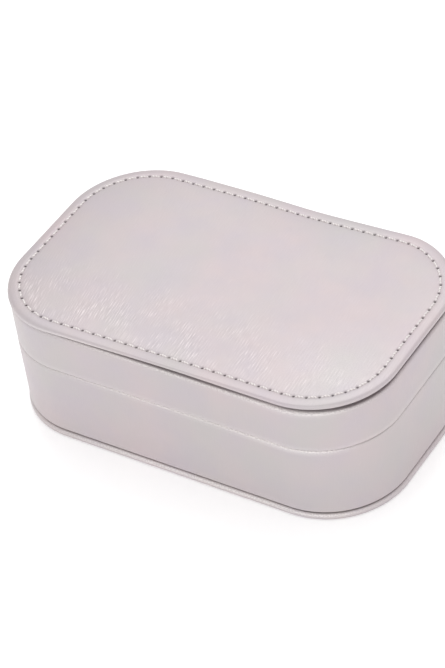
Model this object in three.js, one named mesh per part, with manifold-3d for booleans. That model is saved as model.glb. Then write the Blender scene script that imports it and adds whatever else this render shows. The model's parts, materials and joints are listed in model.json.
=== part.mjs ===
// Travel jewelry case: a hinged, leatherette-covered box with rounded corners.
// Millimetres, +Z up. The origin is on the underside, at the middle of the case.
// The front, where the lid lifts, faces -Y. The leatherette hinge runs along the back.

import * as THREE from "three";
import { mergeVertices } from "three/addons/utils/BufferGeometryUtils.js";
import Module from "manifold-3d";

const wasm = await Module();
wasm.setup();

// ---------------------------------------------------------------- driving dimensions

const LENGTH = 120; // along X
const DEPTH = 73; // along Y
const HEIGHT = 42; // closed, underside to the top of the lid panel
const CORNER = 23.5; // plan radius of the outermost outline
const CORNER_STEPS = 4; // half the number of facets on each corner
const SEAM_Z = 25.5; // height of the parting line and of the hinge axis
const SEAM_GAP = 0.3; // between the two rims
const SOLE = 2.3; // thickness of the underside panel
const PANEL = 3.05; // thickness of the padded top panel
const LID_OPENING = 0.3; // clearance round the locating collar
const FIT = 0.05; // glue line between pieces that lie against each other

// The wall, as distances in from the outermost outline.
const SKIN_OUT = 0.3;
const SKIN_IN = 1.1;
const CORE_OUT = SKIN_IN + FIT;
const CORE_IN = CORE_OUT + 2.0;
const COLLAR_OUT = CORE_IN + LID_OPENING;
const COLLAR_IN = COLLAR_OUT + 1.15;
const LID_LINER_OUT = CORE_IN + FIT;
const LID_LINER_IN = LID_LINER_OUT + 1.15;
const RIM_TURN = 0.7; // thickness of the leatherette turned over a rim

// Heights.
const BASE_RIM = SEAM_Z - SEAM_GAP / 2;
const LID_RIM = SEAM_Z + SEAM_GAP / 2;
const COLLAR_TOP = SEAM_Z + 2.5;
const PANEL_Z = HEIGHT - PANEL;
const LID_WALL_TOP = PANEL_Z - FIT;
const WALL_FOOT = SOLE + FIT;
const FLOOR_TOP = WALL_FOOT + 1.25;
const CEILING_CARD = 1.6;
const CEILING_Z = LID_WALL_TOP - FIT - CEILING_CARD;

// Panels wrapped round a board. turnIn is how far the leatherette turns in behind it.
const WRAP = { turnIn: 9, skin: 0.6, board: 1.0 };
const SOLE_PANEL = { round: 0.9, edge: 1.3 };
const LID_PANEL = { round: 1.3, edge: 1.6, topSkin: 0.75 };

// Magnets.
const MAGNET = { length: 12, thickness: 1.45, height: 3.2, spread: 20, play: 0.05 };

// Hinge strip.
const HINGE = { halfLength: 33.7, halfHeight: 5.7, thickness: 0.75, margin: 0.3 };

// Inside.
const CARD = 1.0; // core of a partition
const VELVET = 0.35; // velvet on each side of it
const SLEEVE_END = 1.4; // velvet past each end of it
const DIVIDER_X = 18; // where both sliding dividers stand
const DIVIDER_TOP = 20;
const PARTITION_TOP = 22;
const RING_PARTITION_X = -18.7;
const ROLL = { count: 4, width: 8.4, gap: 0.35, top: 20.5 };
const INSIDE_GAP = 0.3; // between loose inner pieces and the liner

// Mirror.
const MIRROR = { length: 90, depth: 44, corner: 8, thickness: 1.6 };
const TAPE = { thickness: 0.25, edge: 3 };
const FRAME = { border: 2.5, lip: 2, lipThickness: 0.4, play: 0.1 };

// ---------------------------------------------------------------- materials

const finish = (color, roughness, metalness = 0) =>
  new THREE.MeshStandardMaterial({ color, roughness, metalness });

const leatherette = finish(0xd6c9cb, 0.42);
const velvet = finish(0xcdbfc4, 0.95);
const board = finish(0xa99f8f, 0.9);
const foam = finish(0xeeeae0, 1.0);
const steel = finish(0x9c9ea2, 0.3, 1);
const mirrorGlass = finish(0xe8ecee, 0.02, 1);
const tape = finish(0xf2f0ea, 0.7);

// ---------------------------------------------------------------- shapes and booleans

// A rounded rectangle about the origin.
function roundedRectangle(length, depth, radius, Kind = THREE.Shape) {
  const x = length / 2 - radius;
  const y = depth / 2 - radius;
  const path = new Kind();
  path.moveTo(x + radius, -y);
  path.absarc(x, y, radius, 0, Math.PI / 2);
  path.absarc(-x, y, radius, Math.PI / 2, Math.PI);
  path.absarc(-x, -y, radius, Math.PI, 1.5 * Math.PI);
  path.absarc(x, -y, radius, 1.5 * Math.PI, 2 * Math.PI);
  path.closePath();
  return path;
}

// The case's own outline, moved in by inset.
const outline = (inset, Kind) =>
  roundedRectangle(LENGTH - 2 * inset, DEPTH - 2 * inset, CORNER - inset, Kind);

// A shape raised between two heights.
function raise(shape, bottom, top) {
  const geometry = new THREE.ExtrudeGeometry(shape, {
    depth: top - bottom,
    bevelEnabled: false,
    curveSegments: CORNER_STEPS,
  });
  return geometry.translate(0, 0, bottom);
}

const slab = (inset, bottom, top) => raise(outline(inset), bottom, top);

function ring(outer, inner, bottom, top) {
  const shape = outline(outer);
  shape.holes.push(outline(inner, THREE.Path));
  return raise(shape, bottom, top);
}

// A slab whose long edges are rounded over.
function roundedSlab(bottom, top, round) {
  const geometry = new THREE.ExtrudeGeometry(outline(0), {
    depth: top - bottom - 2 * round,
    bevelThickness: round,
    bevelSize: round,
    bevelOffset: -round,
    bevelSegments: 3,
    curveSegments: CORNER_STEPS,
  });
  return geometry.translate(0, 0, bottom + round);
}

// A box between two corners.
function block([x0, y0, z0], [x1, y1, z1]) {
  const geometry = new THREE.BoxGeometry(x1 - x0, y1 - y0, z1 - z0);
  return geometry.translate((x0 + x1) / 2, (y0 + y1) / 2, (z0 + z1) / 2);
}

function toSolid(geometry) {
  const bare = new THREE.BufferGeometry().setAttribute(
    "position",
    (geometry.index ? geometry.toNonIndexed() : geometry).getAttribute("position"),
  );
  const merged = mergeVertices(bare, 1e-4);
  return new wasm.Manifold(
    new wasm.Mesh({
      numProp: 3,
      vertProperties: merged.attributes.position.array,
      triVerts: new Uint32Array(merged.index.array),
    }),
  );
}

function toGeometry(solid) {
  const { vertProperties, triVerts } = solid.getMesh();
  const geometry = new THREE.BufferGeometry();
  geometry.setAttribute("position", new THREE.BufferAttribute(vertProperties, 3));
  geometry.setIndex(new THREE.BufferAttribute(triVerts, 1));
  return geometry;
}

const join = (first, ...more) =>
  toGeometry(more.reduce((solid, piece) => solid.add(toSolid(piece)), toSolid(first)));

const cut = (first, ...tools) =>
  toGeometry(tools.reduce((solid, tool) => solid.subtract(toSolid(tool)), toSolid(first)));

const common = (first, second) => toGeometry(toSolid(first).intersect(toSolid(second)));

// ---------------------------------------------------------------- assembly

const jewelryCase = new THREE.Group();
jewelryCase.name = "travel_jewelry_case";

function add(name, geometry, material) {
  const mesh = new THREE.Mesh(geometry, material);
  mesh.name = name;
  jewelryCase.add(mesh);
  return mesh;
}

// ---------------------------------------------------------------- shared pieces

// A leatherette cover wrapped round a board: a rounded slab, hollow for the board and
// what lies on it, and open in the middle of the side where the leatherette turns in.
function wrappedPanel({ bottom, top, panel, hollow, open }) {
  return cut(
    roundedSlab(bottom, top, panel.round),
    slab(panel.edge, hollow[0], hollow[1]),
    slab(WRAP.turnIn, open[0], open[1]),
  );
}

// The magnets sit in slots in the inner face of the front wall, next to the rim.
function magnetBox(side, bottom, play) {
  const y = -(DEPTH / 2 - CORE_IN) - FIT;
  const x = side * MAGNET.spread;
  const half = MAGNET.length / 2 + play;
  return block(
    [x - half, y - MAGNET.thickness - play, bottom - play],
    [x + half, y + (play ? 1 : 0), bottom + MAGNET.height + play],
  );
}

function wallCore(bottom, top, magnetBottom) {
  return cut(
    ring(CORE_OUT, CORE_IN, bottom, top),
    magnetBox(-1, magnetBottom, MAGNET.play),
    magnetBox(1, magnetBottom, MAGNET.play),
  );
}

// The window in both outer covers that the hinge strip fills.
const hingeWindow = () =>
  block(
    [
      -HINGE.halfLength - HINGE.margin,
      DEPTH / 2 - SKIN_IN,
      SEAM_Z - HINGE.halfHeight - HINGE.margin,
    ],
    [
      HINGE.halfLength + HINGE.margin,
      DEPTH / 2,
      SEAM_Z + HINGE.halfHeight + HINGE.margin,
    ],
  );

// A partition is a card in a velvet sleeve, which is open underneath.
function addPartition(name, low, high) {
  const [x0, y0, z0] = low;
  const [x1, y1, z1] = high;
  const alongX = x1 - x0 > y1 - y0;
  const dx = alongX ? SLEEVE_END : VELVET;
  const dy = alongX ? VELVET : SLEEVE_END;
  const pocket = block([x0 + dx, y0 + dy, 0], [x1 - dx, y1 - dy, z1 - VELVET]);
  add(`${name}_sleeve`, cut(block(low, high), pocket), velvet);
  add(
    `${name}_card`,
    block(
      [x0 + dx + FIT, y0 + dy + FIT, z0],
      [x1 - dx - FIT, y1 - dy - FIT, z1 - VELVET - FIT],
    ),
    board,
  );
}

// ---------------------------------------------------------------- base

const soleBoardZ = WRAP.skin + FIT;
const soleBoardTop = soleBoardZ + WRAP.board;
add(
  "sole_cover",
  wrappedPanel({
    bottom: 0,
    top: SOLE,
    panel: SOLE_PANEL,
    hollow: [WRAP.skin, soleBoardTop + FIT],
    open: [soleBoardTop, HEIGHT],
  }),
  leatherette,
);
add("sole_board", slab(SOLE_PANEL.edge + FIT, soleBoardZ, soleBoardTop), board);

const baseMagnetZ = BASE_RIM - RIM_TURN - 2 * FIT - MAGNET.height;
add("base_wall_core", wallCore(WALL_FOOT, BASE_RIM - RIM_TURN - FIT, baseMagnetZ), board);
add(
  "base_outer_cover",
  cut(
    join(
      ring(SKIN_OUT, SKIN_IN, WALL_FOOT, BASE_RIM),
      ring(SKIN_OUT, CORE_IN, BASE_RIM - RIM_TURN, BASE_RIM),
    ),
    hingeWindow(),
  ),
  leatherette,
);
add("base_liner", ring(COLLAR_OUT, COLLAR_IN, WALL_FOOT, COLLAR_TOP), velvet);
add("floor_card", slab(COLLAR_IN + FIT, WALL_FOOT, FLOOR_TOP), velvet);

// ---------------------------------------------------------------- inside the base

const insideX = LENGTH / 2 - COLLAR_IN - INSIDE_GAP;
const insideY = DEPTH / 2 - COLLAR_IN - INSIDE_GAP;
const insideZ = FLOOR_TOP + FIT;
const halfWall = CARD / 2 + VELVET + FIT;

addPartition(
  "ring_partition",
  [RING_PARTITION_X - halfWall, -insideY, insideZ],
  [RING_PARTITION_X + halfWall, insideY, PARTITION_TOP],
);
addPartition(
  "long_partition",
  [RING_PARTITION_X + halfWall + INSIDE_GAP, -halfWall, insideZ],
  [insideX, halfWall, PARTITION_TOP],
);

// The dividers stand clear of the floor, because they slide along it.
for (const [name, side] of [["front_divider", -1], ["back_divider", 1]]) {
  const near = halfWall + INSIDE_GAP;
  const [y0, y1] = side < 0 ? [-insideY, -near] : [near, insideY];
  addPartition(
    name,
    [DIVIDER_X - halfWall, y0, insideZ + INSIDE_GAP],
    [DIVIDER_X + halfWall, y1, DIVIDER_TOP],
  );
}

// Ring rolls: upright foam pads with rounded tops, side by side, trimmed to the liner.
function rollSection() {
  const radius = ROLL.width / 2;
  const shoulder = ROLL.top - radius;
  const shape = new THREE.Shape();
  shape.moveTo(-radius, insideZ);
  shape.lineTo(radius, insideZ);
  shape.lineTo(radius, shoulder);
  shape.absarc(0, shoulder, radius, 0, Math.PI);
  shape.closePath();
  return shape;
}

const rollZone = slab(COLLAR_IN + INSIDE_GAP, 0, HEIGHT);
const rollPitch = ROLL.width + ROLL.gap;
const lastRollX = RING_PARTITION_X - halfWall - rollPitch + ROLL.width / 2;
for (let i = 0; i < ROLL.count; i++) {
  const bar = new THREE.ExtrudeGeometry(rollSection(), {
    depth: 2 * insideY,
    bevelEnabled: false,
    curveSegments: 4,
  });
  bar.rotateX(Math.PI / 2);
  bar.translate(lastRollX - (ROLL.count - 1 - i) * rollPitch, insideY, 0);
  add(`ring_roll_${i + 1}`, common(bar, rollZone), velvet);
}

// ---------------------------------------------------------------- hinge

add(
  "hinge_strip",
  block(
    [
      -HINGE.halfLength,
      DEPTH / 2 - SKIN_OUT - HINGE.thickness,
      SEAM_Z - HINGE.halfHeight,
    ],
    [HINGE.halfLength, DEPTH / 2 - SKIN_OUT, SEAM_Z + HINGE.halfHeight],
  ),
  leatherette,
);

// ---------------------------------------------------------------- lid

const lidMagnetZ = LID_RIM + RIM_TURN + 2 * FIT;
add(
  "lid_wall_core",
  wallCore(LID_RIM + RIM_TURN + FIT, LID_WALL_TOP - RIM_TURN - FIT, lidMagnetZ),
  board,
);
add(
  "lid_outer_cover",
  cut(
    join(
      ring(SKIN_OUT, SKIN_IN, LID_RIM, LID_WALL_TOP),
      ring(SKIN_OUT, CORE_IN, LID_RIM, LID_RIM + RIM_TURN),
      ring(SKIN_OUT, CORE_IN, LID_WALL_TOP - RIM_TURN, LID_WALL_TOP),
    ),
    hingeWindow(),
  ),
  leatherette,
);
add(
  "lid_liner",
  ring(LID_LINER_OUT, LID_LINER_IN, COLLAR_TOP + LID_OPENING, CEILING_Z - FIT),
  velvet,
);
add("ceiling_card", slab(LID_LINER_OUT, CEILING_Z, LID_WALL_TOP - FIT), velvet);

const lidBoardZ = PANEL_Z + WRAP.skin;
const foamZ = lidBoardZ + WRAP.board + FIT;
const foamTop = HEIGHT - LID_PANEL.topSkin;
add(
  "lid_top_cover",
  wrappedPanel({
    bottom: PANEL_Z,
    top: HEIGHT,
    panel: LID_PANEL,
    hollow: [lidBoardZ - FIT, foamTop + FIT],
    open: [0, lidBoardZ],
  }),
  leatherette,
);
add("lid_top_board", slab(LID_PANEL.edge + FIT, lidBoardZ, lidBoardZ + WRAP.board), board);
add("lid_top_foam", slab(LID_PANEL.edge + FIT, foamZ, foamTop), foam);

// ---------------------------------------------------------------- mirror

// Grows the mirror's outline by a border, between two heights.
const mirrorSlab = (border, bottom, top) =>
  raise(
    roundedRectangle(
      MIRROR.length + 2 * border,
      MIRROR.depth + 2 * border,
      MIRROR.corner + border,
    ),
    bottom,
    top,
  );

const frameTop = CEILING_Z - FIT;
const glassTop = frameTop - TAPE.thickness;
const glassBottom = glassTop - MIRROR.thickness;
add("mirror_tape", mirrorSlab(-TAPE.edge, glassTop, frameTop), tape);
add("mirror_glass", mirrorSlab(0, glassBottom, glassTop - FIT), mirrorGlass);
add(
  "mirror_frame",
  cut(
    mirrorSlab(FRAME.border, glassBottom - FRAME.lipThickness, frameTop),
    mirrorSlab(FRAME.play, glassBottom - FIT, HEIGHT),
    mirrorSlab(-FRAME.lip, 0, frameTop),
  ),
  velvet,
);

// ---------------------------------------------------------------- magnets

for (const [name, side] of [["left", -1], ["right", 1]]) {
  add(`base_magnet_${name}`, magnetBox(side, baseMagnetZ, 0), steel);
  add(`lid_magnet_${name}`, magnetBox(side, lidMagnetZ, 0), steel);
}

export default jewelryCase;
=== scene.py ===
import json
import math
import random

import bmesh
import bpy
import numpy as np
from mathutils import Matrix, Vector
from mathutils.geometry import delaunay_2d_cdt


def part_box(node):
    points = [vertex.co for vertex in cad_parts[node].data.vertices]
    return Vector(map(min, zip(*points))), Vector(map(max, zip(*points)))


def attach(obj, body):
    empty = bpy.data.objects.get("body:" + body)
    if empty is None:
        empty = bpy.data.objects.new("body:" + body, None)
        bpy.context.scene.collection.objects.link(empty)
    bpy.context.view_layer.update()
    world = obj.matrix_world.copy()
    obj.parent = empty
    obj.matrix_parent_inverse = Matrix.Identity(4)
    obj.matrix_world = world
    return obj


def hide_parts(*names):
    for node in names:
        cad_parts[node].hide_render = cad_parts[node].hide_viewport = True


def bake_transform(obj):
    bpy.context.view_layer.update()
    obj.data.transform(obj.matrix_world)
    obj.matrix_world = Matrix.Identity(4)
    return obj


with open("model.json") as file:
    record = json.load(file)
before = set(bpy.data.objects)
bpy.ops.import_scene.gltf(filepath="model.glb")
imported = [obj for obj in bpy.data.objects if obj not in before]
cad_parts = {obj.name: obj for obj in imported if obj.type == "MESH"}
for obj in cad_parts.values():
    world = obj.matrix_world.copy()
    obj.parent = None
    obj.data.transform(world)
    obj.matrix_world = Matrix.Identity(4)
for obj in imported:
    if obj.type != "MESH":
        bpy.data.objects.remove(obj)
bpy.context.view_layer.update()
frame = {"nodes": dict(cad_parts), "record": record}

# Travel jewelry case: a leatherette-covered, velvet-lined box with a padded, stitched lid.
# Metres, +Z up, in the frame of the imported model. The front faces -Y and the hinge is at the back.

MM = 0.001

# ------------------------------------------------------------------ sizes, from the frame

PANEL_LOW, PANEL_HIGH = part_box("lid_top_cover")
LID_LOW, LID_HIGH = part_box("lid_outer_cover")
BASE_LOW, BASE_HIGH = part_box("base_outer_cover")
SOLE_LOW, SOLE_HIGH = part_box("sole_cover")
COLLAR_LOW, COLLAR_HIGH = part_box("base_liner")
LINER_LOW, LINER_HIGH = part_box("lid_liner")
HALF_X, HALF_Y = PANEL_HIGH.x, PANEL_HIGH.y
SEAM_Z = (BASE_HIGH.z + LID_LOW.z) / 2
CORNER = 23.5 * MM

# How far in from the outermost outline each layer of the wall is.
SKIN = HALF_X - BASE_HIGH.x
CORE_IN = HALF_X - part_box("base_wall_core")[1].x + 2 * MM
COLLAR = HALF_X - COLLAR_HIGH.x
LINING = 1.15 * MM
TURN = 0.7 * MM

STITCH_INSET = 3.475 * MM
STITCH_PITCH = 3.5 * MM


# ------------------------------------------------------------------ shapes

class Rim:
    """Places round a rounded rectangle. stations are shares of the way round, measured along the ring
    that is datum in from the outline, from the middle of the back towards the left."""

    def __init__(self, half_x, half_y, corner, stations, datum=0.0):
        self.half = np.array([half_x, half_y])
        self.corner = corner
        self.flat = self.half - corner
        radius = corner - datum
        quarter = math.pi / 2 * radius
        x, y = self.flat
        legs = [
            (x, (0, 1), (-1, 0), (0, y)),
            (quarter, 90, None, (-x, y)),
            (2 * y, (-1, 0), (0, -1), (-x, y)),
            (quarter, 180, None, (-x, -y)),
            (2 * x, (0, -1), (1, 0), (-x, -y)),
            (quarter, 270, None, (x, -y)),
            (2 * y, (1, 0), (0, 1), (x, -y)),
            (quarter, 0, None, (x, y)),
            (x, (0, 1), (-1, 0), (x, y)),
        ]
        self.length = sum(leg[0] for leg in legs)
        self.along = np.array(stations) * self.length
        points, normals = [], []
        for distance in self.along:
            for reach, facing, way, start in legs:
                if distance <= reach + 1e-12:
                    break
                distance -= reach
            if way is None:
                angle = math.radians(facing) + distance / radius
                normal = np.array([math.cos(angle), math.sin(angle)])
                point = np.array(start)
            else:
                normal = np.array(facing, float)
                point = np.array(start) + np.array(way) * distance
            normals.append(normal)
            points.append(point + normal * corner)
        self.points, self.normals = np.array(points), np.array(normals)

    def ring(self, inset):
        """The stations moved in from the outline."""
        return self.points - self.normals * np.reshape(inset, (-1, 1))

    def depth(self, xy):
        """How far in from the outline each point is."""
        q = np.abs(xy) - self.flat
        outside = np.linalg.norm(np.maximum(q, 0), axis=1)
        return self.corner - outside - np.minimum(q.max(axis=1), 0)


def case_rim(columns):
    """Evenly spaced stations round the case's outline."""
    return Rim(HALF_X, HALF_Y, CORNER, np.arange(columns) / columns)


def rounded(corners, steps=5, closed=True):
    """A section from its corners, each (inset, height, radius), with every corner rounded to its radius."""
    made = []
    count = len(corners)
    for i, (x, z, radius) in enumerate(corners):
        here = np.array([x, z])
        if radius <= 0 or (not closed and i in (0, count - 1)):
            made.append(here)
            continue
        before = np.array(corners[i - 1][:2]) - here
        after = np.array(corners[(i + 1) % count][:2]) - here
        before, after = before / np.linalg.norm(before), after / np.linalg.norm(after)
        half = math.acos(max(-1.0, min(1.0, float(before @ after)))) / 2
        start, end = here + before * radius / math.tan(half), here + after * radius / math.tan(half)
        centre = here + (before + after) / np.linalg.norm(before + after) * radius / math.sin(half)
        for k in range(steps + 1):
            chord = start + (end - start) * k / steps - centre
            made.append(centre + chord / np.linalg.norm(chord) * radius)
    return np.array(made)


def divided(section, step, closed=True):
    """The same section with no stretch longer than step."""
    made = []
    for i in range(len(section) - (0 if closed else 1)):
        a, b = section[i], section[(i + 1) % len(section)]
        parts = max(1, math.ceil(np.linalg.norm(b - a) / step))
        made.extend(a + (b - a) * k / parts for k in range(parts))
    if not closed:
        made.append(section[-1])
    return np.array(made)


def waves(xyz, wavelength, seed, count=7):
    """Smooth unevenness from -1 to 1: a few plane waves in seeded directions."""
    rng = random.Random(seed)
    total = np.zeros(len(xyz))
    for _ in range(count):
        way = np.array([rng.gauss(0, 1) for _ in range(3)])
        way *= 2 * math.pi / (np.linalg.norm(way) * wavelength * rng.uniform(0.7, 1.6))
        total += np.sin(xyz @ way + rng.uniform(0, 2 * math.pi))
    return total / count


def ramp(values, start, end):
    """0 up to start, 1 from end on, and straight in between. end may lie below start."""
    return np.clip((values - start) / (end - start), 0, 1)


def bell(values, middle, width, power=2):
    """1 at the middle, falling smoothly to 0 on both sides. A higher power gives a flatter top."""
    return np.exp(-(np.abs((values - middle) / width) ** power))


class Shape:
    """Vertices and faces. Each face corner may have its place on the flat material, in millimetres."""

    def __init__(self):
        self.points, self.faces, self.grain = [], [], []

    def add_points(self, points):
        first = len(self.points)
        self.points.extend(np.asarray(points, float))
        return first

    def add_face(self, corners, grain=()):
        self.faces.append(corners)
        self.grain.extend(grain)

    def sweep(self, rim, section, closed):
        """A skin round the rim whose section is (inset, height) pairs."""
        columns, rows = len(rim.points), len(section)
        first = len(self.points)
        for inset, height in section:
            xy = rim.ring(inset)
            self.add_points(np.column_stack([xy, np.full(columns, height)]))
        steps = np.linalg.norm(np.diff(np.vstack([section, section[:1]]), axis=0), axis=1)
        across = np.concatenate([[0], np.cumsum(steps)]) / MM
        along = np.append(rim.along, rim.length) / MM
        for i in range(rows if closed else rows - 1):
            low, high = first + i * columns, first + (i + 1) % rows * columns
            for j in range(columns):
                k = (j + 1) % columns
                self.add_face(
                    (low + j, low + k, high + k, high + j),
                    [(along[j + p], across[i + q]) for p, q in ((0, 0), (1, 0), (1, 1), (0, 1))],
                )
        return first

    def fill(self, ring, height, spacing):
        """Closes a ring of existing vertices with an even mesh of triangles at one height."""
        border = [Vector(self.points[v][:2]) for v in ring]
        edge = np.array(border)
        low, high = edge.min(0), edge.max(0)
        inside = []
        row = 0
        y = low[1] + spacing
        while y < high[1]:
            for x in np.arange(low[0] + spacing * (0.5 + row % 2 / 2), high[0], spacing):
                inside.append((x, y))
            row += 1
            y += spacing * 0.866
        inside = np.array([p for p in inside if is_inside(p, edge, 0.6 * spacing)])
        flat = border + [Vector(p) for p in inside]
        count = len(border)
        edges = [(i, (i + 1) % count) for i in range(count)]
        points, _, faces, origin, *_ = delaunay_2d_cdt(flat, edges, [], 1, 1e-9)
        index = {}
        for k, p in enumerate(points):
            source = [o for o in origin[k] if o < count]
            index[k] = ring[source[0]] if source else self.add_points([(p.x, p.y, height)])
        for face in faces:
            corners = tuple(index[k] for k in face)
            self.add_face(corners, [(self.points[v][0] / MM, self.points[v][1] / MM) for v in corners])


def is_inside(point, polygon, margin):
    """Whether a point is inside a polygon and at least margin from its corners."""
    x, y = point
    a, b = polygon, np.roll(polygon, -1, axis=0)
    crosses = (a[:, 1] > y) != (b[:, 1] > y)
    with np.errstate(divide="ignore", invalid="ignore"):
        at = (b[:, 0] - a[:, 0]) * (y - a[:, 1]) / (b[:, 1] - a[:, 1]) + a[:, 0]
    odd = np.count_nonzero(crosses & (x < at)) % 2 == 1
    return odd and np.min(np.hypot(a[:, 0] - x, a[:, 1] - y)) > margin


def outward_from_middle(points):
    """For each point, the level unit vector that points away from the middle of the case."""
    flat = points[:, :2]
    return flat / np.linalg.norm(flat, axis=1)[:, None]


def piece(name, shape, material, body, slot, replaces=(), smooth=True, **values):
    """Makes a piece from a shape. values are numbers kept at each vertex for the material to read. Without a
    body, the piece is not fastened here."""
    mesh = bpy.data.meshes.new(name)
    mesh.from_pydata([tuple(p) for p in shape.points], [], shape.faces)
    if len(shape.grain):
        layer = mesh.uv_layers.new(name="grain")
        layer.data.foreach_set("uv", np.array(shape.grain, np.float32).ravel())
    for key, numbers in values.items():
        mesh.attributes.new(key, "FLOAT", "POINT").data.foreach_set("value", np.array(numbers, np.float32))
    made = bmesh.new()
    made.from_mesh(mesh)
    bmesh.ops.recalc_face_normals(made, faces=made.faces)
    made.to_mesh(mesh)
    made.free()
    mesh.polygons.foreach_set("use_smooth", [smooth] * len(mesh.polygons))
    mesh.materials.append(material)
    obj = bpy.data.objects.new(name, mesh)
    bpy.context.scene.collection.objects.link(obj)
    if body:
        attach(obj, body)
    if replaces:
        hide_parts(*replaces)
    return obj


def slab(rim, section, spacing):
    """A closed plate round the rim: the section runs from its lower face's border, round the edge, to its
    upper face's border, and both faces are filled in."""
    shape = Shape()
    first = shape.sweep(rim, section, closed=False)
    columns = len(rim.points)
    last = first + (len(section) - 1) * columns
    shape.fill(list(range(first, first + columns)), section[0][1], spacing)
    shape.fill(list(range(last, last + columns)), section[-1][1], spacing)
    shape.points = np.array(shape.points)
    return shape


def band(rim, section):
    """A closed ring round the rim."""
    shape = Shape()
    shape.sweep(rim, section, closed=True)
    shape.points = np.array(shape.points)
    return shape


# ------------------------------------------------------------------ materials

class Graph:
    """Builds a node material. A value given for a socket is a constant, or another node's socket."""

    def __init__(self, name):
        self.material = bpy.data.materials.new(name)
        self.material.use_nodes = True
        self.tree = self.material.node_tree
        self.shader = self.tree.nodes["Principled BSDF"]

    def set(self, node, sockets):
        for key, value in sockets.items():
            if isinstance(value, bpy.types.NodeSocket):
                self.tree.links.new(value, node.inputs[key])
            else:
                node.inputs[key].default_value = value

    def add(self, kind, out, sockets=None, **settings):
        node = self.tree.nodes.new("ShaderNode" + kind)
        for key, value in settings.items():
            setattr(node, key, value)
        self.set(node, sockets or {})
        return node.outputs[out]

    def noise(self, vector, scale, detail=2.0, roughness=0.5, distortion=0.0):
        return self.add("TexNoise", "Fac", {
            "Vector": vector,
            "Scale": scale,
            "Detail": detail,
            "Roughness": roughness,
            "Distortion": distortion,
        })

    def stretched(self, vector, scale):
        return self.add("Mapping", "Vector", {"Vector": vector, "Scale": scale})

    def remap(self, value, low, high, to_low=0.0, to_high=1.0):
        return self.add("MapRange", "Result", {
            "Value": value, "From Min": low, "From Max": high, "To Min": to_low, "To Max": to_high,
        })

    def times(self, a, b):
        return self.add("Math", 0, {0: a, 1: b}, operation="MULTIPLY")

    def plus(self, a, b):
        return self.add("Math", 0, {0: a, 1: b}, operation="ADD")

    def mix(self, share, a, b):
        node = self.tree.nodes.new("ShaderNodeMix")
        node.data_type = "RGBA"
        self.set(node, {0: share, 6: a, 7: b})
        return node.outputs[2]

    def bump(self, height, strength, distance):
        return self.add("Bump", "Normal", {"Height": height, "Strength": strength, "Distance": distance})

    def place(self):
        return self.add("TexCoord", "Object")

    def grain(self):
        return self.add("UVMap", "UV", uv_map="grain")

    def attribute(self, name):
        return self.add("Attribute", "Fac", attribute_name=name)


def srgb(r, g, b):
    """A colour from its 0 to 255 display values."""
    def linear(v):
        v /= 255
        return v / 12.92 if v <= 0.04045 else ((v + 0.055) / 1.055) ** 2.4
    return (linear(r), linear(g), linear(b), 1.0)


def leatherette():
    """Pearl leatherette: fine lines along the grain, a faint pebble, and a soft drift of hue.
    Its pieces say how much of each mark there is at a vertex: rim for painted highlight specks on the rolled
    rims, then the needle holes, which get painted shade, the lines, which carry a painted glint, and painted
    shade."""
    g = Graph("pearl_leatherette")
    place, grain = g.place(), g.grain()
    rim, pit, brushed_glint, dusk = (g.attribute(name) for name in ("rim", "pit", "brushed_glint", "dusk"))
    drift = g.noise(place, 38.0, 2.0)
    cloud = g.noise(place, 95.0, 3.0)
    pink, grey, lilac = srgb(189, 176, 178), srgb(182, 176, 176), srgb(181, 172, 179)
    bright_line, dark_line = srgb(226, 216, 217), srgb(150, 138, 142)
    dimple, highlight_fleck = srgb(164, 152, 157), srgb(246, 241, 238)
    # The last two colours are painted shade: one for shaded places, one for the inside of the needle holes.
    shade, hole = srgb(126, 114, 116), srgb(52, 40, 44)
    colour = g.mix(g.remap(drift, 0.35, 0.65), pink, grey)
    colour = g.mix(g.remap(cloud, 0.4, 0.7, 0.0, 0.6), colour, lilac)
    scratches = g.noise(g.stretched(grain, (6.2, 0.3, 1.0)), 1.0, 2.0, 0.5)
    hatching = g.add("TexWave", "Fac", {
        "Vector": g.stretched(grain, (1.0, 0.5, 1.0)), "Scale": 0.36, "Distortion": 3.0, "Detail": 2.0,
    }, wave_type="BANDS", bands_direction="X")
    lines = g.plus(g.times(scratches, 0.88), g.times(hatching, 0.12))
    patches = g.noise(grain, 0.09, 2.0)
    pebble = g.noise(grain, 3.2, 2.0)
    shown = g.times(g.remap(brushed_glint, 0.0, 1.0, 0.04, 1.0), g.remap(patches, 0.36, 0.6))
    # The lines' colour is the grain's, with a painted glint that is strongest towards the front, where the
    # light catches them.
    colour = g.mix(g.times(g.remap(lines, 0.54, 0.68, 0.0, 0.75), shown), colour, bright_line)
    colour = g.mix(g.times(g.remap(lines, 0.46, 0.3, 0.0, 0.38), shown), colour, dark_line)
    colour = g.mix(g.remap(pebble, 0.35, 0.15, 0.0, 0.2), colour, dimple)
    # Painted highlight: bright specks on the rolled rims, where the light catches them.
    sparkle = g.remap(g.noise(grain, 3.0, 1.0), 0.4, 0.58, 0.25, 1.0)
    colour = g.mix(g.times(rim, sparkle), colour, highlight_fleck)
    # Painted shade: under the panel's edge, along the sole's lip, at the panel's left end, and faintly over
    # the walls.
    colour = g.mix(dusk, colour, shade)
    # Painted shade inside each needle hole, over the dent the panel has there.
    colour = g.mix(pit, colour, hole)
    relief = g.times(lines, g.remap(brushed_glint, 0.0, 1.0, 0.2, 1.0))
    height = g.plus(relief, g.times(pebble, 0.35))
    rough = g.remap(lines, 0.3, 0.7, 0.5, 0.36)
    g.set(g.shader, {
        "Base Color": colour,
        "Roughness": rough,
        "Metallic": 0.12,
        "Specular IOR Level": 0.45,
        "Coat Weight": 0.12,
        "Coat Roughness": 0.3,
        "Normal": g.bump(height, 0.32, 0.00012),
    })
    return g.material


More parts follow.
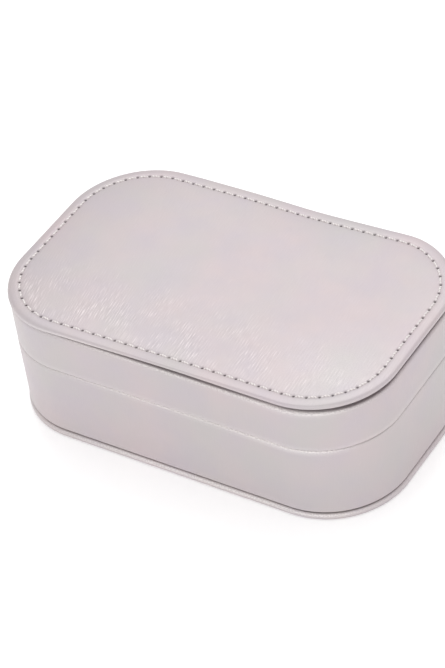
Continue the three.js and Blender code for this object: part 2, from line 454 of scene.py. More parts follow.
def velvet():
    """Short velvet: a pile that catches light at grazing angles, its nap lying in faint patches."""
    g = Graph("velvet")
    place = g.place()
    nap = g.noise(place, 60.0, 3.0, 0.6, 0.6)
    pile = g.noise(place, 5200.0, 2.0, 0.7)
    tuft = g.noise(place, 1300.0, 3.0, 0.6)
    colour = g.mix(g.remap(nap, 0.35, 0.68), srgb(190, 172, 178), srgb(214, 199, 203))
    colour = g.mix(g.remap(pile, 0.35, 0.6, 0.45, 0.0), colour, srgb(150, 132, 140))
    height = g.plus(pile, g.times(tuft, 0.8))
    g.set(g.shader, {
        "Base Color": colour,
        "Roughness": 0.95,
        "Specular IOR Level": 0.12,
        "Sheen Weight": 0.75,
        "Sheen Roughness": 0.35,
        "Sheen Tint": srgb(244, 232, 236),
        "Normal": g.bump(height, 0.5, 0.00015),
    })
    return g.material


def board():
    """Grey-brown pressed board with fibres and specks."""
    g = Graph("pressed_board")
    place = g.place()
    fibre = g.noise(g.stretched(place, (900.0, 260.0, 1500.0)), 1.0, 4.0, 0.65)
    speck = g.noise(place, 2100.0, 1.0)
    colour = g.mix(g.remap(fibre, 0.3, 0.7), srgb(152, 138, 118), srgb(190, 178, 158))
    colour = g.mix(g.remap(speck, 0.68, 0.74, 0.0, 0.5), colour, srgb(104, 92, 78))
    g.set(g.shader, {"Base Color": colour, "Roughness": 0.9, "Normal": g.bump(fibre, 0.4, 0.0001)})
    return g.material


def foam():
    """Open-celled foam."""
    g = Graph("foam")
    cells = g.add("TexVoronoi", "Distance", {"Vector": g.place(), "Scale": 1700.0})
    colour = g.mix(g.remap(cells, 0.1, 0.6), srgb(214, 208, 190), srgb(243, 240, 228))
    g.set(g.shader, {"Base Color": colour, "Roughness": 1.0, "Normal": g.bump(cells, 0.7, 0.0003)})
    return g.material


def steel():
    """Ground steel with fine lines."""
    g = Graph("ground_steel")
    lines = g.noise(g.stretched(g.place(), (200.0, 6000.0, 6000.0)), 1.0, 3.0)
    colour = g.mix(lines, srgb(150, 152, 156), srgb(190, 192, 196))
    g.set(g.shader, {
        "Base Color": colour,
        "Metallic": 1.0,
        "Roughness": g.remap(lines, 0.3, 0.7, 0.25, 0.42),
        "Normal": g.bump(lines, 0.2, 0.00005),
    })
    return g.material


def mirror():
    """Silvered glass with the faintest haze."""
    g = Graph("mirror")
    haze = g.noise(g.place(), 60.0, 3.0)
    g.set(g.shader, {
        "Base Color": g.mix(haze, srgb(233, 238, 239), srgb(241, 245, 246)),
        "Metallic": 1.0,
        "Roughness": g.remap(haze, 0.4, 0.7, 0.015, 0.045),
    })
    return g.material


def tape():
    """White adhesive pad."""
    g = Graph("adhesive_pad")
    fibre = g.noise(g.place(), 900.0, 3.0)
    colour = g.mix(fibre, srgb(226, 222, 212), srgb(246, 244, 238))
    g.set(g.shader, {"Base Color": colour, "Roughness": 0.7, "Normal": g.bump(fibre, 0.2, 0.0001)})
    return g.material


def thread():
    """Twisted polyester thread: plies wind round it, with a soft shine."""
    g = Graph("thread")
    plies = g.add("TexWave", "Fac", {
        "Vector": g.grain(), "Scale": 0.55, "Distortion": 0.8, "Detail": 1.0, "Detail Scale": 2.0,
    }, wave_type="BANDS", bands_direction="DIAGONAL")
    colour = g.mix(plies, srgb(198, 189, 189), srgb(230, 224, 222))
    g.set(g.shader, {
        "Base Color": colour,
        "Roughness": 0.5,
        "Sheen Weight": 0.4,
        "Normal": g.bump(plies, 0.4, 0.00006),
    })
    return g.material


def floor_paper():
    """Smooth white paper under and behind the case."""
    g = Graph("floor_paper")
    tooth = g.noise(g.place(), 700.0, 3.0)
    g.set(g.shader, {
        "Base Color": g.mix(tooth, srgb(250, 250, 250), srgb(253, 253, 253)),
        "Roughness": 0.8,
        "Specular IOR Level": 0.2,
        "Emission Color": (1.0, 1.0, 1.0, 1.0),
        "Emission Strength": 0.15,
    })
    return g.material


LEATHERETTE = leatherette()
VELVET = velvet()
THREAD = thread()
MIRROR = mirror()
BOARD = board()
FOAM = foam()
SLOT_MATERIALS = {
    "board": BOARD,
    "foam": FOAM,
    "leatherette": LEATHERETTE,
    "magnet": steel(),
    "mirror": MIRROR,
    "tape": tape(),
    "velvet": VELVET,
    "velvet_pad": VELVET,
}

for part in frame["record"]["subparts"]:
    node = frame["nodes"][part["node"]]
    node.data.materials.clear()
    node.data.materials.append(SLOT_MATERIALS[part["material_slot"]])


def rim_highlight(points, plain):
    """How strong the painted highlight on a rolled rim is, by which way the rim faces the light: most along
    the front and its right-hand corner. plain is how much less it is just past that corner. Angles run
    anticlockwise from the right, in degrees."""
    angle = np.degrees(np.arctan2(points[:, 1], points[:, 0]))
    highlight_share = 0.2 + 0.8 * bell(angle, -77, 60, power=4)
    return highlight_share * (1 - plain * bell(angle, -22, 8))


# ------------------------------------------------------------------ padded lid panel and its stitches

STITCHES = round(Rim(HALF_X, HALF_Y, CORNER, [0], STITCH_INSET).length / STITCH_PITCH)
# Where the panel's columns of points stand within a stitch: they crowd together round each needle hole.
WITHIN_STITCH = [0, 0.03, 0.06, 0.1, 0.16, 0.25, 0.37, 0.5, 0.63, 0.75, 0.84, 0.9, 0.94, 0.97]
PANEL_SPACING = 1.05 * MM  # between the points of the panel's flat faces
HOLE_RADIUS, HOLE_DEPTH = 0.31 * MM, 0.45 * MM
THREAD_RADIUS, THREAD_DIVE = 0.27 * MM, 0.42 * MM
THREAD_SIDES, THREAD_RINGS = 10, 16
UP = np.array([0, 0, 1.0])
stitch_stations = [(i + u) / STITCHES for i in range(STITCHES) for u in WITHIN_STITCH]
panel_rim = Rim(HALF_X, HALF_Y, CORNER, stitch_stations, STITCH_INSET)


def tilt(xyz):
    """The glued panel sits a little higher at its right end than at its left."""
    return np.where(xyz[:, 0] < 0, 0.85, 0.55) * MM * xyz[:, 0] / HALF_X


def panel_gap(xyz, depth):
    """How far the panel's rolled lower edge stands off the wall: most along the front and its right-hand
    corner. At the left end it hangs a little over the wall instead."""
    x, y = xyz[:, 0], xyz[:, 1]
    across = ramp(x, -52 * MM, 40 * MM)
    left = ramp(x, -30 * MM, -56 * MM)
    front = ramp(y, 25 * MM, -25 * MM)
    bow = 0.55 * front * bell(x, 2 * MM, 22 * MM)
    stand_off = (0.16 - 0.66 * left + across * (0.95 + 0.2 * front) + bow) * MM
    return stand_off * ramp(depth, 6 * MM, 3 * MM)


def padding(depth, hole):
    """Height of the padded face above the panel's top plane, by depth in from the outline. The threads pull
    it down along the stitch line, most at the holes."""
    field = -0.3 * MM * np.exp(-np.maximum(depth - STITCH_INSET, 0) / (4.5 * MM))
    border = np.minimum(depth - STITCH_INSET, 0) / STITCH_INSET
    roll = -0.12 * MM * border**2 + 0.1 * MM * np.sin(math.pi * np.clip(-border, 0, 1))
    valley = bell(depth, STITCH_INSET, 0.55 * MM)
    pull = 0.05 * MM + 0.09 * MM * hole
    return field + roll - pull * valley


def pulled(along):
    """1 at each needle hole and 0 midway between two."""
    return 0.5 + 0.5 * np.cos(2 * math.pi * along / panel_rim.length * STITCHES)


def panel_section():
    """From the turned-in underside, round the rolled edge, to just inside the stitches."""
    low, high = PANEL_LOW.z, PANEL_HIGH.z
    edge = rounded([
        (9 * MM, low, 0),
        (0, low, 1.15 * MM),
        (0, high - 0.35 * MM, 1.5 * MM),
        (2.4 * MM, high, 2 * MM),
        (2.6 * MM, high, 0),
    ], steps=8, closed=False)
    edge = divided(edge, 0.9 * MM, closed=False)
    inward = [2.8, 3.0, 3.15, 3.26, 3.34, 3.41, 3.475, 3.54, 3.61, 3.69, 3.8, 3.95, 4.2, 4.6, 5.1, 5.8]
    return np.vstack([edge, [(d * MM, high) for d in inward]])


def hand_cut(points):
    """How far the panel's back edge wanders from straight."""
    x, y = points[:, 0], points[:, 1]
    back = ramp(y, 22 * MM, 34 * MM)
    bow = 0.4 * bell(x, 40 * MM, 10 * MM) - 0.5 * bell(x, 8 * MM, 14 * MM)
    return bow * back * MM


def panel_grain(shape):
    """The grain runs from front to back, and slants a little more towards the left end."""
    corners = [v for face in shape.faces for v in face]
    x, y, z = shape.points[corners].T
    slant = 0.05 + 0.16 * ramp(x, 0, -40 * MM)
    return np.column_stack([x + y * slant, y + z]) / MM


def panel_lines_and_painted_light(points, depth, on_top):
    """The painted highlight, the lines with their painted glint, and the painted shade at each point of the
    finished panel.
    """
    x, y, z = points.T
    roll_z = PANEL_LOW.z + 1.3 * MM
    rolled_edge = bell(z, roll_z, 0.45 * MM) * (depth < 0.5 * MM)
    corner_highlight = bell(x, 46 * MM, 17 * MM) * bell(y, -20 * MM, 12 * MM)
    field = np.maximum(ramp(depth, STITCH_INSET, STITCH_INSET + 1.2 * MM), 0.1)
    towards_front = np.maximum(ramp(y, -6 * MM, -23 * MM), 0.04)
    towards_left = 1 - 0.45 * ramp(x, 5 * MM, 35 * MM)
    # Painted highlight on the rolled edge and near the front right corner; the lines are strongest towards
    # the front, where the light glints on them; painted shade at the left end.
    return {
        "rim": 0.55 * rolled_edge * rim_highlight(points, plain=0.0) + 0.12 * on_top * corner_highlight,
        "brushed_glint": towards_front * towards_left * on_top * field,
        "dusk": 0.13 * ramp(x, -25 * MM, -55 * MM),
    }


def add_lid_panel():
    """The padded panel. Returns its swept points as a grid, by row of the section and column of the rim."""
    section = panel_section()
    shape = slab(panel_rim, section, PANEL_SPACING)
    points = shape.points
    shape.grain = panel_grain(shape)
    columns = len(panel_rim.points)
    swept = columns * len(section)
    is_swept = np.arange(len(points)) < swept
    along = np.zeros(len(points))
    along[:swept] = np.tile(panel_rim.along, len(section))
    depth = panel_rim.depth(points[:, :2])
    on_top = ramp(points[:, 2], PANEL_LOW.z, PANEL_HIGH.z) ** 3
    hole = np.where(is_swept, pulled(along), 0.0)
    from_hole = np.abs((along / panel_rim.length * STITCHES + 0.5) % 1 - 0.5) * STITCH_PITCH
    from_hole = np.hypot(from_hole, depth - STITCH_INSET)
    # A dent at each needle hole, into which the material also paints shade.
    pit = np.where(is_swept & (on_top > 0.5), bell(from_hole, 0, HOLE_RADIUS, power=4), 0.0)
    uneven = 0.09 * MM * waves(points, 24 * MM, 3) + 0.05 * MM * waves(points, 9 * MM, 4)
    points[:, 2] += on_top * (padding(depth, hole) + uneven) - HOLE_DEPTH * pit
    points[:, 2] += on_top * tilt(points) + (1 - on_top) * panel_gap(points, depth)
    points[:, :2] *= 1 + 0.05 * MM / HALF_Y * waves(points, 30 * MM, 5)[:, None]
    points[:, 1] += hand_cut(points)
    made = piece(
        "lid_padded_panel", shape, LEATHERETTE, "lid", "leatherette",
        replaces=["lid_top_cover"], pit=pit, **panel_lines_and_painted_light(points, depth, on_top),
    )
    return points[:swept].reshape(len(section), columns, 3)


def thread_centres(start, end, top, side, sway):
    """The middle line of one thread: it rises from a hole, runs level and dives into the next."""
    centres = []
    for t in np.linspace(0, 1, THREAD_RINGS):
        share = 0.14 + 0.72 * t
        centre = (1 - share) * start + share * end
        rise = math.sin(math.pi * t)
        centre[2] = top - THREAD_DIVE * (1 - rise**0.5)
        centres.append(centre + side * (sway * rise + 0.12 * MM * (t - 0.5)))
    return centres


def add_thread(shape, centres, along):
    """Adds a closed tube round the centres: two plies that wind round each other."""
    across = np.cross(along, UP)
    across /= np.linalg.norm(across)
    first = len(shape.points)
    for k, centre in enumerate(centres):
        twist = 10 * k / (THREAD_RINGS - 1)
        for s in range(THREAD_SIDES):
            angle = 2 * math.pi * s / THREAD_SIDES
            radius = THREAD_RADIUS * (1 + 0.16 * math.cos(2 * angle - twist))
            shape.add_points([centre + (across * math.cos(angle) + UP * math.sin(angle)) * radius])
    for k in range(THREAD_RINGS - 1):
        for s in range(THREAD_SIDES):
            n = (s + 1) % THREAD_SIDES
            a, b = first + k * THREAD_SIDES, first + (k + 1) * THREAD_SIDES
            u0, u1 = k * 0.22, (k + 1) * 0.22
            v0, v1 = s * 0.14, (s + 1) * 0.14
            shape.add_face((a + s, a + n, b + n, b + s), [(u0, v0), (u0, v1), (u1, v1), (u1, v0)])
    for ring in (first, first + (THREAD_RINGS - 1) * THREAD_SIDES):
        shape.add_face(tuple(range(ring, ring + THREAD_SIDES)), [(0, 0)] * THREAD_SIDES)


def add_stitches(grid):
    """Lockstitches along the panel's stitch line, one thread from each needle hole to the next."""
    section = panel_section()
    row = int(np.argmin(np.abs(section[:, 0] - STITCH_INSET) + (section[:, 1] < PANEL_HIGH.z)))
    valley = grid[row]
    per_stitch = len(WITHIN_STITCH)
    rng = random.Random(11)
    shape = Shape()
    for i in range(STITCHES):
        hole = i * per_stitch
        middle = hole + per_stitch // 2
        start, end = valley[hole], valley[(hole + per_stitch) % len(valley)]
        side = np.array([*panel_rim.normals[middle], 0])
        sway = rng.uniform(-0.06, 0.06) * MM
        centres = thread_centres(start, end, valley[middle][2] + 0.1 * MM, side, sway)
        add_thread(shape, centres, (end - start) / np.linalg.norm(end - start))
    piece("lockstitch_thread", shape, THREAD, "lid", "thread")


def add_lid_board():
    """The board inside the panel, bent up with the panel's edge."""
    low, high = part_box("lid_top_board")
    inset = HALF_X - high.x + 0.3 * MM
    section = rounded([
        (7 * MM, low.z, 0), (inset, low.z, 0.1 * MM), (inset, high.z, 0.1 * MM), (7 * MM, high.z, 0),
    ], steps=2, closed=False)
    shape = slab(case_rim(240), divided(section, 1.2 * MM, closed=False), 3 * MM)
    points = shape.points
    share = ramp(points[:, 2], low.z, high.z)
    bend = np.maximum(panel_gap(points, panel_rim.depth(points[:, :2])), 0)
    points[:, 2] += (1 - 0.45 * share) * bend + (0.5 + 0.4 * share) * np.minimum(tilt(points), 0)
    piece("lid_panel_board", shape, BOARD, "lid", "board", replaces=["lid_top_board"])


def add_lid_foam():
    """The foam between the lid's board and its cover, which follows the cover's padding."""
    low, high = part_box("lid_top_foam")
    inset = HALF_X - high.x
    section = rounded([
        (6 * MM, low.z, 0), (inset, low.z, 0.1 * MM), (inset, high.z, 0.4 * MM), (6 * MM, high.z, 0),
    ], steps=3, closed=False)
    shape = slab(case_rim(240), divided(section, 1.2 * MM, closed=False), 2 * MM)
    points = shape.points
    depth = panel_rim.depth(points[:, :2])
    share = ramp(points[:, 2], low.z, high.z)
    row = bell(depth, STITCH_INSET, 0.8 * MM)
    under = low.z + 0.55 * np.maximum(panel_gap(points, depth), 0) + 0.9 * np.minimum(tilt(points), 0)
    over = high.z + padding(depth, 0.0) + tilt(points) - (0.15 + 0.5 * row) * MM
    points[:, 2] = under + share * np.maximum(over - under, 0.05 * MM)
    made = piece("lid_foam_pad", shape, FOAM, "lid", "foam", replaces=["lid_top_foam"])


# ------------------------------------------------------------------ leatherette covers

WALL_COLUMNS = 420


def wall_cover(name, body, low, high, section, seed, plain, replaces):
    """A leatherette wall cover with rolled rims. Painted highlight specks on its upper rim are widest at the
    front right corner, and further in the rim has painted shade."""
    shape = band(case_rim(WALL_COLUMNS), divided(section, 1.3 * MM))
    points = shape.points
    outer = ramp(panel_rim.depth(points[:, :2]), SKIN + 0.6 * MM, SKIN)
    swell = 0.07 * MM * waves(points, 26 * MM, seed) + 0.03 * MM * waves(points, 8 * MM, seed + 1)
    points[:, :2] += outward_from_middle(points) * (outer * swell)[:, None]
    x, z = points[:, 0], points[:, 2]
    near = np.minimum(z - low, high - z)
    upward = z > (low + high) / 2
    corner = bell(x, 40 * MM, 14 * MM)
    bright = SKIN + (0.55 + 0.35 * corner - 0.4 * ramp(x, 47 * MM, 54 * MM)) * MM
    inside = ramp(panel_rim.depth(points[:, :2]), bright, bright + 0.7 * MM)
    width = (0.45 + 0.25 * corner) * MM
    # Painted highlight specks along the rolled rims, most on the upper rim's outer edge.
    rim = bell(near, 0, width) * np.where(upward, rim_highlight(points, plain), 0.2) * (1 - inside)
    points[:, 2] += 0.04 * MM * waves(points, 12 * MM, seed + 2) * np.exp(-near / (2 * MM))
    # Painted shade on the upper rim's top face further in, in the gap under the part above, and a faint
    # painted shade over the whole wall.
    dusk = np.maximum(0.8 * inside * upward, 0.03)
    piece(name, shape, LEATHERETTE, body, "leatherette", replaces=replaces, rim=rim, dusk=dusk)


def add_walls():
    """The two wall covers. The base's is turned in at its upper rim until it meets the collar."""
    low, high = LID_LOW.z, LID_HIGH.z
    inner = SKIN + 0.8 * MM
    wall_cover("lid_wall_cover", "lid", low, high, rounded([
        (SKIN, low, 0.25 * MM),
        (SKIN, high, 0.95 * MM),
        (CORE_IN, high, 0.2 * MM),
        (CORE_IN, high - TURN, 0.1 * MM),
        (inner, high - TURN, 0),
        (inner, low + TURN, 0),
        (CORE_IN, low + TURN, 0.1 * MM),
        (CORE_IN, low, 0.35 * MM),
    ]), 21, 0.0, ["lid_outer_cover"])
    low, high = BASE_LOW.z, BASE_HIGH.z
    turned = COLLAR - 0.02 * MM
    wall_cover("base_wall_cover", "base", low, high, rounded([
        (SKIN, low, 0.75 * MM),
        (SKIN, high, 0.75 * MM),
        (turned, high, 0.35 * MM),
        (turned, high - TURN, 0.1 * MM),
        (inner, high - TURN, 0),
        (inner, low, 0.1 * MM),
    ]), 31, 0.7, ["base_outer_cover"])


def add_sole():
    """The underside panel, whose rolled edge stands out past the wall as a lip."""
    low, high = SOLE_LOW.z, SOLE_HIGH.z
    section = divided(rounded([
        (6 * MM, low, 0),
        (0, low, 0.8 * MM),
        (0, high - 0.05 * MM, 0.8 * MM),
        (1.5 * MM, high - 0.65 * MM, 0.5 * MM),
        (3 * MM, high - 0.02 * MM, 0.5 * MM),
        (9 * MM, high - 0.02 * MM, 0),
    ], steps=7, closed=False), 1.5 * MM, closed=False)
    shape = slab(case_rim(WALL_COLUMNS), section, 2.4 * MM)
    points = shape.points
    edge = ramp(panel_rim.depth(points[:, :2]), 1.2 * MM, 0)
    uneven = 0.06 * MM * edge * waves(points, 14 * MM, 41)
    points[:, :2] += outward_from_middle(points) * uneven[:, None]
    # The lip gets painted highlight specks, and the edge a faint painted shade.
    lip = bell(points[:, 2], high - 0.5 * MM, 0.7 * MM) * edge
    piece(
        "sole_panel_cover", shape, LEATHERETTE, "base", "leatherette",
        replaces=["sole_cover"], rim=0.95 * lip * rim_highlight(points, 0.3), dusk=0.05 * edge,
    )


def add_hinge():
    """The leatherette strip glued over the back of both walls, creased where it bends."""
    low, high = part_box("hinge_strip")
    xs = np.linspace(low.x, high.x, 90)
    spread = np.linspace(-1, 1, 61)
    zs = SEAM_Z + (high.z - low.z) / 2 * np.sign(spread) * np.abs(spread) ** 1.6
    face = BASE_HIGH.y - 0.02 * MM
    shape = Shape()
    sheets = []
    for is_outer in (True, False):
        rows = []
        for z in zs:
            xyz = np.column_stack([xs, np.full(len(xs), face), np.full(len(xs), z)])
            near = np.minimum(np.minimum(xs - low.x, high.x - xs), min(z - low.z, high.z - z))
            rounding = np.sqrt(1 - (1 - ramp(near, 0, 0.35 * MM)) ** 2)
            crease = 0.16 * MM * bell(z, SEAM_Z, 0.4 * MM)
            if is_outer:
                xyz[:, 1] += rounding * (0.3 * MM - crease + 0.03 * MM * waves(xyz, 9 * MM, 51))
            else:
                xyz[:, 1] -= rounding * 0.3 * MM
            rows.append(shape.add_points(xyz))
        sheets.append(rows)
    for rows in sheets:
        for r in range(len(zs) - 1):
            for c in range(len(xs) - 1):
                a, b = rows[r] + c, rows[r + 1] + c
                grain = [(xs[c + p] / MM, zs[r + q] / MM) for p, q in ((0, 0), (1, 0), (1, 1), (0, 1))]
                shape.add_face((a, a + 1, b + 1, b), grain)
    shape.points = np.array(shape.points)
    made = piece("hinge_leatherette", shape, LEATHERETTE, None, "leatherette", replaces=["hinge_strip"])
    joined = bmesh.new()
    joined.from_mesh(made.data)
    bmesh.ops.remove_doubles(joined, verts=joined.verts, dist=1e-7)
    bmesh.ops.recalc_face_normals(joined, faces=joined.faces)
    joined.to_mesh(made.data)
    joined.free()
    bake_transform(made)


# ------------------------------------------------------------------ velvet lining

def soften(shape, amount, wavelength, seed):
    """Moves the points a little, by smooth waves."""
    shape.points += amount * np.column_stack([waves(shape.points, wavelength, seed + k) for k in range(3)])


def add_liners():
    """The base's liner, which stands up as a collar, and the lid's, whose thin skirt hides the core of the
    wall."""
    low, high = COLLAR_LOW.z, COLLAR_HIGH.z
    inner = COLLAR + LINING
    collar = band(case_rim(360), divided(rounded([
        (COLLAR, low, 0.1 * MM),
        (COLLAR, high, 0.5 * MM),
        (inner, high, 0.5 * MM),
        (inner, low, 0.1 * MM),
    ]), 1.2 * MM))
    soften(collar, 0.035 * MM, 11 * MM, 61)
    piece("base_velvet_collar", collar, VELVET, "base", "velvet", replaces=["base_liner"])
    low, high = LINER_LOW.z, LINER_HIGH.z
    outer = HALF_X - LINER_HIGH.x
    skirt = outer + 0.13 * MM
    lining = band(case_rim(360), divided(rounded([
        (outer, LID_LOW.z + 0.25 * MM, 0),
        (outer, high, 0),
        (outer + LINING, high, 0.1 * MM),
        (outer + LINING, low, 0.5 * MM),
        (skirt, low, 0.05 * MM),
        (skirt, LID_LOW.z + 0.25 * MM, 0.03 * MM),
    ]), 1.2 * MM))
    soften(lining, 0.02 * MM, 11 * MM, 71)
    piece("lid_velvet_lining", lining, VELVET, "lid", "velvet", replaces=["lid_liner"])


def add_card(name, node, body, seed, face_down):
    """A velvet-covered card that fills the floor or the ceiling, with softly turned edges."""
    low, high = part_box(node)
    inset = HALF_X - high.x
    soft = 0.45 * MM
    section = rounded([
        (inset + 4 * MM, low.z, 0),
        (inset, low.z, soft if face_down else 0.05 * MM),
        (inset, high.z, 0.05 * MM if face_down else soft),
        (inset + 4 * MM, high.z, 0),
    ], steps=4, closed=False)
    shape = slab(case_rim(300), divided(section, 1.2 * MM, closed=False), 1.8 * MM)
    shape.points[:, 2] += 0.05 * MM * waves(shape.points, 16 * MM, seed)
    piece(name, shape, VELVET, body, "velvet", replaces=[node])


def upright(name, node, body, seed):
    """A velvet-covered card on edge: a thin plate with a rounded edge, soft faces and a fuller top."""
    low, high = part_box(node)
    size = high - low
    along_x = size.x > size.y
    length, thick = (size.x, size.y) if along_x else (size.y, size.x)
    count = 2 * round((length + size.z) / (0.9 * MM))
    rim = Rim(length / 2, size.z / 2, 1.4 * MM, np.arange(count) / count)
    half = thick / 2
    section = rounded([
        (3 * MM, -half, 0), (0, -half, half * 0.95), (0, half, half * 0.95), (3 * MM, half, 0),
    ], steps=6, closed=False)
    shape = slab(rim, divided(section, 0.8 * MM, closed=False), 1.5 * MM)
    local = shape.points.copy()
    local[:, 2] *= 1 - 0.06 * ramp(rim.depth(local[:, :2]), 6 * MM, 0)
    lengthways, upwards, sideways = local.T
    if along_x:
        turned = np.column_stack([lengthways, -sideways, upwards])
    else:
        turned = np.column_stack([sideways, lengthways, upwards])
    shape.points = turned + np.array((low + high) / 2)
    soften(shape, 0.03 * MM, 10 * MM, seed)
    piece(name, shape, VELVET, body, "velvet", replaces=[node])


def add_inside():
    """The floor and ceiling cards, the fixed partitions and the sliding dividers."""
    add_card("velvet_floor", "floor_card", "base", 81, face_down=False)
    add_card("velvet_ceiling", "ceiling_card", "lid", 83, face_down=True)
    for i, name in enumerate(("ring_partition", "long_partition")):
        upright(f"{name}_velvet", f"{name}_sleeve", "base", 90 + 5 * i)
    for i, name in enumerate(("front_divider", "back_divider")):
        upright(f"{name}_velvet", f"{name}_sleeve", name, 100 + 5 * i)


# ------------------------------------------------------------------ ring rolls

ROLL_SCALE = 10  # cloth is simulated at ten times the size, where Blender's cloth is steady
ROLL_ROOM = 4.9 * MM  # how far in from the outline the rolls end
ROLL_ROWS = 46  # of points along a roll
CLOTH_STEPS = 18


def roll_shape(low, high):
    """A closed velvet-covered foam bar with a rounded top, whose ends follow the liner's curve."""
    section = divided(rounded([
        (low.x, low.z, 0.6 * MM),
        (high.x, low.z, 0.6 * MM),
        (high.x, high.z, 3.7 * MM),
        (low.x, high.z, 3.7 * MM),
    ], steps=8), 1.1 * MM)
    around = len(section)
    middle = section.mean(axis=0)
    flat = np.array([HALF_X, HALF_Y]) - CORNER
    radius = CORNER - ROLL_ROOM
    shape = Shape()
    shares = np.sin(np.linspace(-math.pi / 2, math.pi / 2, ROLL_ROWS))
    for t in shares:
        shrink = (1 - abs(t) ** 14) * 0.22 + 0.78
        ring = middle + (section - middle) * shrink
        past = np.clip(np.abs(ring[:, 0]) - flat[0], 0, radius * 0.999)
        reach = flat[1] + np.sqrt(radius**2 - past**2)
        shape.add_points(np.column_stack([ring[:, 0], t * reach, ring[:, 1]]))
    for r in range(ROLL_ROWS - 1):
        for s in range(around):
            a, b, n = r * around, (r + 1) * around, (s + 1) % around
            shape.add_face((a + s, a + n, b + n, b + s))
    for first in (0, (ROLL_ROWS - 1) * around):
        shape.add_face(tuple(range(first, first + around)))
    shape.points = np.array(shape.points)
    return shape


def puff(obj, cap):
    """Runs cloth under pressure on a closed piece, limits how far each point moves, and keeps the result."""
    rest = np.array([v.co for v in obj.data.vertices])
    obj.data.vertices.foreach_set("co", (rest * ROLL_SCALE).astype(np.float32).ravel())
    held = obj.vertex_groups.new(name="held")
    foot = rest[:, 2].min() + 1.5 * MM
    held.add([i for i, p in enumerate(rest) if p[2] < foot], 1.0, "REPLACE")
    cloth = obj.modifiers.new("cloth", "CLOTH")
    settings = cloth.settings
    settings.quality = 6
    settings.mass = 0.3
    settings.tension_stiffness = settings.compression_stiffness = 12
    settings.bending_stiffness = 0.6
    settings.use_pressure = True
    settings.uniform_pressure_force = 5
    settings.vertex_group_mass = "held"
    settings.effector_weights.gravity = 0
    cloth.collision_settings.use_collision = False
    scene = bpy.context.scene
    for step in range(1, CLOTH_STEPS + 1):
        scene.frame_set(step)
    graph = bpy.context.evaluated_depsgraph_get()
    moved = np.array([v.co for v in obj.evaluated_get(graph).data.vertices]) / ROLL_SCALE
    obj.modifiers.remove(cloth)
    obj.vertex_groups.clear()
    scene.frame_set(1)
    shift = moved - rest
    length = np.linalg.norm(shift, axis=1)[:, None]
    shift *= cap * np.tanh(length / cap) / np.maximum(length, 1e-9)
    obj.data.vertices.foreach_set("co", (rest + shift).astype(np.float32).ravel())
    obj.data.update()


def add_ring_rolls():
    """The four ring rolls, puffed by cloth, then made slightly uneven and smoothed."""
    for i in range(1, 5):
        node = f"ring_roll_{i}"
        low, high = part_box(node)
        slack = Vector((0.35 * MM, 0, 0))
        shape = roll_shape(low + slack, high - slack - Vector((0, 0, 0.3 * MM)))
        obj = piece(f"ring_roll_{i}_velvet", shape, VELVET, None, "velvet_pad", replaces=[node])
        puff(obj, 0.55 * MM)
        points = np.array([v.co for v in obj.data.vertices])
        uneven = np.column_stack([waves(points, 7 * MM, seed + i) for seed in (120, 130)])
        points[:, :2] += 0.06 * MM * uneven
        obj.data.vertices.foreach_set("co", points.astype(np.float32).ravel())
        smooth = obj.modifiers.new("smooth", "SUBSURF")
        smooth.levels = smooth.render_levels = 1
        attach(obj, "base")


# ------------------------------------------------------------------ mirror

def add_mirror():
    """The glass, with a velvet frame whose lip covers its edge."""
    low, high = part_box("mirror_frame")
    glass_low, glass_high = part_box("mirror_glass")
    border = high.x - glass_high.x
    corner = 10.5 * MM
    count = 320
    rim = Rim(high.x, high.y, corner, np.arange(count) / count)
    lip = border + 2 * MM
    frame_band = band(rim, divided(rounded([
        (0, high.z, 0),
        (0, low.z, 0.7 * MM),
        (lip, low.z + 0.05 * MM, 0.16 * MM),
        (lip, low.z + 0.38 * MM, 0.05 * MM),
        (border - 0.1 * MM, low.z + 0.38 * MM, 0),
        (border - 0.1 * MM, high.z, 0),
    ]), 0.8 * MM))
    soften(frame_band, 0.02 * MM, 9 * MM, 141)
    piece("mirror_velvet_frame", frame_band, VELVET, "lid", "velvet", replaces=["mirror_frame"])
    glass_rim = Rim(glass_high.x, glass_high.y, corner - border, np.arange(count) / count)
    glass = slab(glass_rim, rounded([
        (4 * MM, glass_low.z, 0),
        (0.5 * MM, glass_low.z, 0.05 * MM),
        (0, glass_low.z + 0.4 * MM, 0.05 * MM),
        (0, glass_high.z, 0.05 * MM),
        (4 * MM, glass_high.z, 0),
    ], steps=2, closed=False), 6 * MM)
    piece("mirror_plate", glass, MIRROR, "lid", "mirror", replaces=["mirror_glass"], smooth=False)


# ------------------------------------------------------------------ studio

CAMERA_PLACE = (0.3627, -0.4862, 0.5556)
CAMERA_AZIMUTH, CAMERA_ELEVATION, CAMERA_ROLL = 37.05, 41.29, -8.86  # degrees
CAMERA_LENS = 156.9  # millimetres, for a 36 mm sensor
LIGHT_AIM = Vector((0, 0, 0.02))
WORLD_STRENGTH = 0.86
FLOOR_HALF = 3.0
FLOOR_LEVEL = -0.1 * MM  # just clear of the sole's flat face


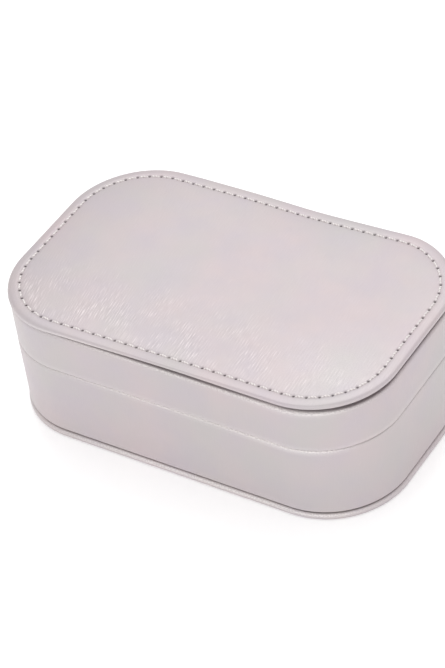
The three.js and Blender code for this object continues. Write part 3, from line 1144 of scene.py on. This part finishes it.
def add_camera():
    """The camera looks down from the front right, and its azimuth is counted from straight in front."""
    azimuth, elevation = math.radians(CAMERA_AZIMUTH), math.radians(CAMERA_ELEVATION)
    roll = math.radians(CAMERA_ROLL)
    back = Vector((
        math.sin(azimuth) * math.cos(elevation),
        -math.cos(azimuth) * math.cos(elevation),
        math.sin(elevation),
    ))
    level = Vector((math.cos(azimuth), math.sin(azimuth), 0))
    up = back.cross(level)
    right = level * math.cos(roll) + up * math.sin(roll)
    data = bpy.data.cameras.new("camera")
    data.sensor_width = 36
    data.lens = CAMERA_LENS
    data.clip_start = 0.01
    data.dof.use_dof = False
    camera = bpy.data.objects.new("camera", data)
    turned = Matrix((right, back.cross(right), back)).transposed()
    camera.matrix_world = Matrix.Translation(CAMERA_PLACE) @ turned.to_4x4()
    bpy.context.scene.collection.objects.link(camera)
    bpy.context.scene.camera = camera


def add_area_light(name, place, size, power):
    """A rectangular light, in watts, aimed at the case."""
    data = bpy.data.lights.new(name, "AREA")
    data.shape = "RECTANGLE"
    data.size, data.size_y = size
    data.energy = power
    light = bpy.data.objects.new(name, data)
    light.location = place
    light.rotation_euler = (LIGHT_AIM - Vector(place)).to_track_quat("-Z", "Y").to_euler()
    bpy.context.scene.collection.objects.link(light)


def add_studio():
    """A white surround, two soft lights and a floor."""
    world = bpy.data.worlds.new("studio")
    world.use_nodes = True
    background = world.node_tree.nodes["Background"]
    background.inputs["Color"].default_value = (1.0, 1.0, 1.0, 1.0)
    background.inputs["Strength"].default_value = WORLD_STRENGTH
    bpy.context.scene.world = world
    add_area_light("overhead", (-0.25, 0.5, 0.85), (0.7, 0.5), 3.5)
    add_area_light("front_fill", (0.3, -0.75, 0.5), (0.5, 0.4), 2.15)
    mesh = bpy.data.meshes.new("floor")
    signs = ((-1, -1), (1, -1), (1, 1), (-1, 1))
    corners = [(x * FLOOR_HALF, y * FLOOR_HALF, FLOOR_LEVEL) for x, y in signs]
    mesh.from_pydata(corners, [], [(0, 1, 2, 3)])
    mesh.materials.append(floor_paper())
    floor = bpy.data.objects.new("floor", mesh)
    bpy.context.scene.collection.objects.link(floor)
    bpy.context.scene.view_settings.view_transform = "Standard"


add_camera()
add_studio()
add_stitches(add_lid_panel())
add_lid_board()
add_lid_foam()
add_walls()
add_sole()
add_hinge()
add_liners()
add_inside()
add_ring_rolls()
add_mirror()
